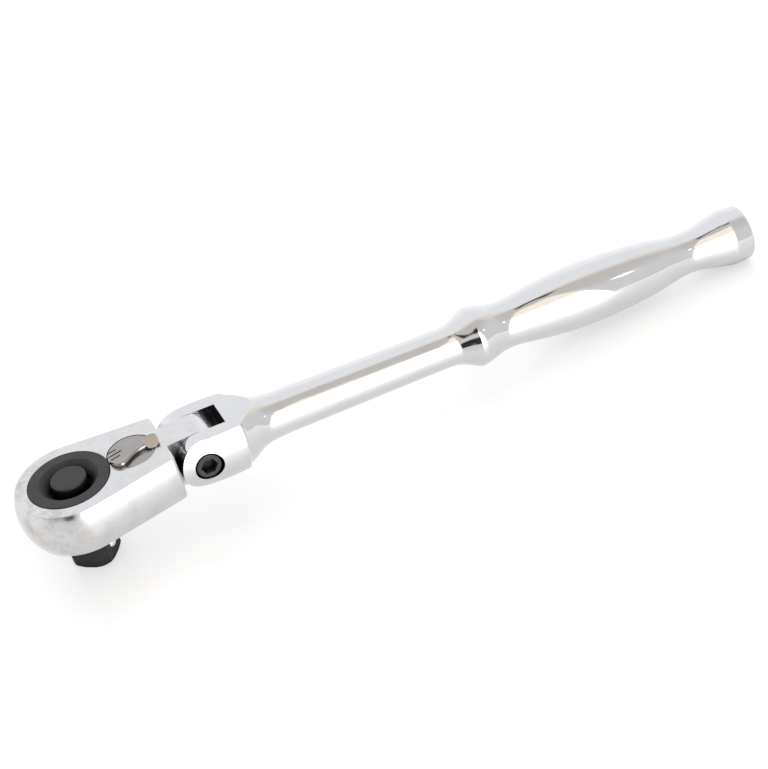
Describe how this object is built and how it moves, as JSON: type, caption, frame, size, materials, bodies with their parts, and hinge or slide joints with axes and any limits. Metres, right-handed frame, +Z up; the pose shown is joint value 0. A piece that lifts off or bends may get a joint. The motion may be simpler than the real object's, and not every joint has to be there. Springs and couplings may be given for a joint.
{
  "type": "flex-head ratchet wrench",
  "caption": "Chrome flex-head ratchet wrench with a square drive, quick-release button, reversing lever and turned grip on a hinged handle.",
  "frame": {"origin": "centre of the square drive's flat end", "axes": "+Z up along the drive's axis, +X from the head towards the handle's end, -Y towards the side with the pivot screw's head"},
  "size_m": [0.1863, 0.0274, 0.0246],
  "materials": {
    "polished_chrome": "polished chrome plate over forged steel",
    "black_phosphate": "fine-grained black phosphate on steel",
    "black_oxide": "satin black oxide on steel",
    "satin_nickel": "satin nickel plate with polished edges",
    "ball_steel": "polished bearing steel",
    "spring_steel": "plain spring steel",
    "tool_steel": "hardened tool steel",
    "seal_rubber": "black nitrile rubber"
  },
  "bodies": {
    "head": {"head_housing": "polished_chrome", "thrust_washer": "spring_steel", "lever_snap_ring": "spring_steel"},
    "handle": {"handle": "polished_chrome", "pivot_screw": "black_oxide", "near_friction_washer": "spring_steel", "far_friction_washer": "spring_steel"},
    "drive": {"drive_gear": "black_phosphate", "drive_circlip": "spring_steel", "drive_seal": "seal_rubber", "button_retaining_ring": "spring_steel", "button_spring": "spring_steel"},
    "button": {"release_button": "black_phosphate"},
    "ball": {"detent_ball": "ball_steel"},
    "lever": {"reverse_lever": "satin_nickel", "lever_seal": "seal_rubber", "pawl_plunger": "tool_steel", "pawl_spring": "spring_steel"},
    "pawl": {"pawl": "tool_steel"}
  },
  "joints": [
    {"name": "handle_flex", "type": "hinge", "parent": "head", "child": "handle", "pos_m": [0.02965, 0, 0.0164], "axis": [0, 1, 0], "range_deg": [-93.97, 86.03]},
    {"name": "drive_spin", "type": "hinge", "parent": "head", "child": "drive", "pos_m": [0, 0, 0.0164], "axis": [0, 0, 1], "continuous": true},
    {"name": "reverse_lever", "type": "hinge", "parent": "head", "child": "lever", "pos_m": [0.0153, 0, 0.0226], "axis": [0, 0, 1], "range_deg": [-44, 0]},
    {"name": "pawl_rock", "type": "hinge", "parent": "head", "child": "pawl", "pos_m": [0.0153, 0, 0.0175], "axis": [0, 0, 1], "range_deg": [-7.01, 0]},
    {"name": "button_press", "type": "slide", "parent": "drive", "child": "button", "axis": [0, 0, -1], "range_m": [0, 0.0016], "stiffness_N_per_m": 900, "springref_m": -0.003, "deforming": ["button_spring"]},
    {"name": "ball_retract", "type": "slide", "parent": "drive", "child": "ball", "axis": [-0.788, 0.6157, 0], "range_m": [0, 0.00097]}
  ],
  "couplings": [
    {"joint": "pawl_rock", "follows": "reverse_lever", "ratio": 0.15909},
    {"joint": "ball_retract", "follows": "button_press", "ratio": 0.6}
  ]
}
